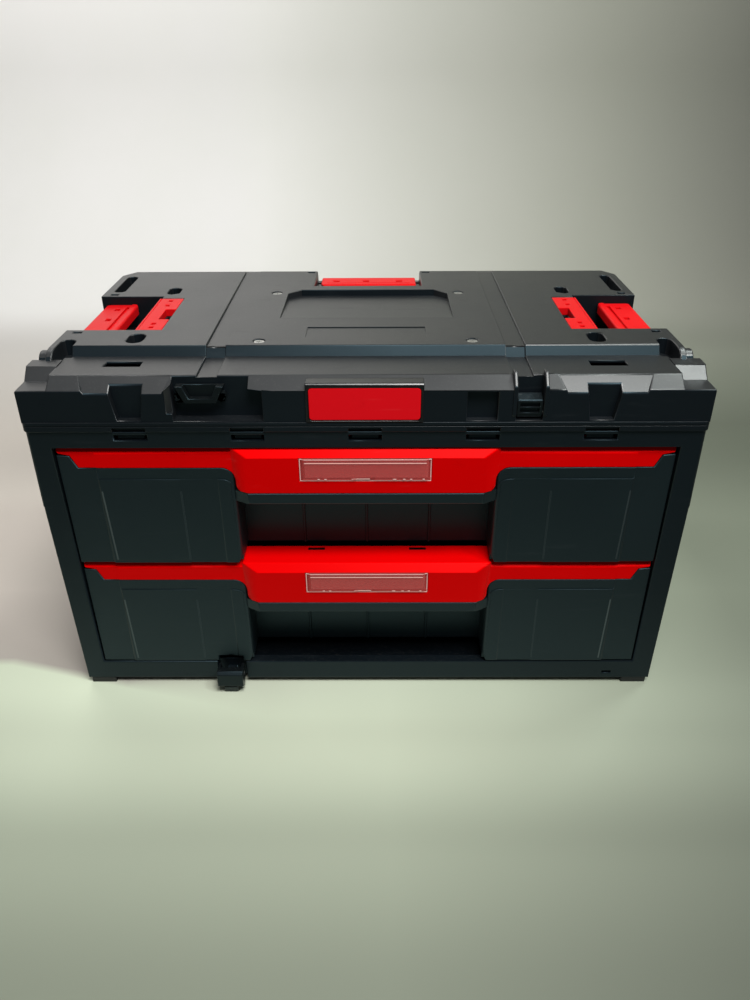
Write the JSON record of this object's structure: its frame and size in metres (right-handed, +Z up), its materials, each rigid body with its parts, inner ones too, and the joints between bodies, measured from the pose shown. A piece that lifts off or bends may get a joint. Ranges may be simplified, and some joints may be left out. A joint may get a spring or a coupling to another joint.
{
  "type": "tool cabinet with drawers",
  "caption": "Portable stacking tool cabinet with pull-out drawers, red drawer fascias, a ribbed black case and a stepped cover with fold-up stacking latches.",
  "frame": {"origin": "centre of the whole outline at floor level, under the feet", "axes": "+X to the right-hand side seen from the drawers' side, -Y out of the front where the drawers open, +Z up"},
  "size_m": [0.587, 0.397, 0.3448],
  "materials": {
    "case": "black moulded plastic, fine grain",
    "feet": "black, dull",
    "cover": "black moulded plastic, satin on the upper faces",
    "zinc_screw": "zinc-plated",
    "steel_pin": "plain steel",
    "slide_steel": "zinc-plated sheet",
    "badge_red": "red, bare",
    "badge_surround": "black, shiny",
    "red_latch": "red, satin",
    "red_fascia": "red, semi-gloss",
    "clear_window": "clear",
    "tray": "black",
    "front_panel": "black with a green cast, fine grain",
    "clamp": "black"
  },
  "bodies": {
    "cabinet": {"cabinet_shell": "case", "corner_feet": "feet", "top_cover": "cover", "cover_screws": "zinc_screw", "badge_plate": "badge_red", "badge_frame": "badge_surround", "inset_strip_left": "red_latch", "inset_strip_right": "red_latch", "latch_pin_left": "steel_pin", "latch_pin_right": "steel_pin", "latch_pin_rear": "steel_pin", "stack_catch": "clamp", "top_clamp_pin": "steel_pin", "bottom_clamp_pin": "steel_pin", "upper_slide_rail_left": "slide_steel", "upper_slide_rail_right": "slide_steel", "lower_slide_rail_left": "slide_steel", "lower_slide_rail_right": "slide_steel", "slide_screws": "zinc_screw"},
    "upper_drawer": {"upper_drawer_tray": "tray", "upper_drawer_front": "front_panel", "upper_fascia": "red_fascia", "upper_label_window": "clear_window", "upper_slide_runner_left": "slide_steel", "upper_slide_runner_right": "slide_steel", "upper_drawer_screws": "zinc_screw"},
    "lower_drawer": {"lower_drawer_tray": "tray", "lower_drawer_front": "front_panel", "lower_fascia": "red_fascia", "lower_label_window": "clear_window", "lower_slide_runner_left": "slide_steel", "lower_slide_runner_right": "slide_steel", "lower_drawer_screws": "zinc_screw"},
    "upper_slide_middle": {"upper_slide_carrier_left": "slide_steel", "upper_slide_carrier_right": "slide_steel"},
    "lower_slide_middle": {"lower_slide_carrier_left": "slide_steel", "lower_slide_carrier_right": "slide_steel"},
    "left_latch": {"side_latch_left": "red_latch"},
    "right_latch": {"side_latch_right": "red_latch"},
    "rear_latch": {"rear_latch": "red_latch"},
    "top_clamp": {"top_clamp": "clamp"},
    "bottom_clamp": {"bottom_clamp": "clamp"}
  },
  "joints": [
    {"name": "upper_drawer_slide", "type": "slide", "parent": "cabinet", "child": "upper_drawer", "axis": [0, -1, 0], "range_m": [0, 0.26]},
    {"name": "lower_drawer_slide", "type": "slide", "parent": "cabinet", "child": "lower_drawer", "axis": [0, -1, 0], "range_m": [0, 0.26]},
    {"name": "upper_middle_slide", "type": "slide", "parent": "cabinet", "child": "upper_slide_middle", "axis": [0, -1, 0], "range_m": [0, 0.13]},
    {"name": "lower_middle_slide", "type": "slide", "parent": "cabinet", "child": "lower_slide_middle", "axis": [0, -1, 0], "range_m": [0, 0.13]},
    {"name": "right_latch_flip", "type": "hinge", "parent": "cabinet", "child": "right_latch", "pos_m": [0.2705, -0.0255, 0.3315], "axis": [0, 1, 0], "range_deg": [0, 95]},
    {"name": "left_latch_flip", "type": "hinge", "parent": "cabinet", "child": "left_latch", "pos_m": [-0.2705, -0.0255, 0.3315], "axis": [0, -1, 0], "range_deg": [0, 95]},
    {"name": "rear_latch_flip", "type": "hinge", "parent": "cabinet", "child": "rear_latch", "pos_m": [0, 0.13, 0.3315], "axis": [-1, 0, 0], "range_deg": [0, 95]},
    {"name": "top_clamp_swing", "type": "hinge", "parent": "cabinet", "child": "top_clamp", "pos_m": [0.139, -0.1813, 0.3047], "axis": [1, 0, 0], "range_deg": [0, 90]},
    {"name": "bottom_clamp_swing", "type": "hinge", "parent": "cabinet", "child": "bottom_clamp", "pos_m": [-0.139, -0.1885, 0.0195], "axis": [-1, 0, 0], "range_deg": [0, 90]}
  ],
  "couplings": [
    {"joint": "upper_middle_slide", "follows": "upper_drawer_slide", "ratio": 0.5},
    {"joint": "lower_middle_slide", "follows": "lower_drawer_slide", "ratio": 0.5}
  ]
}
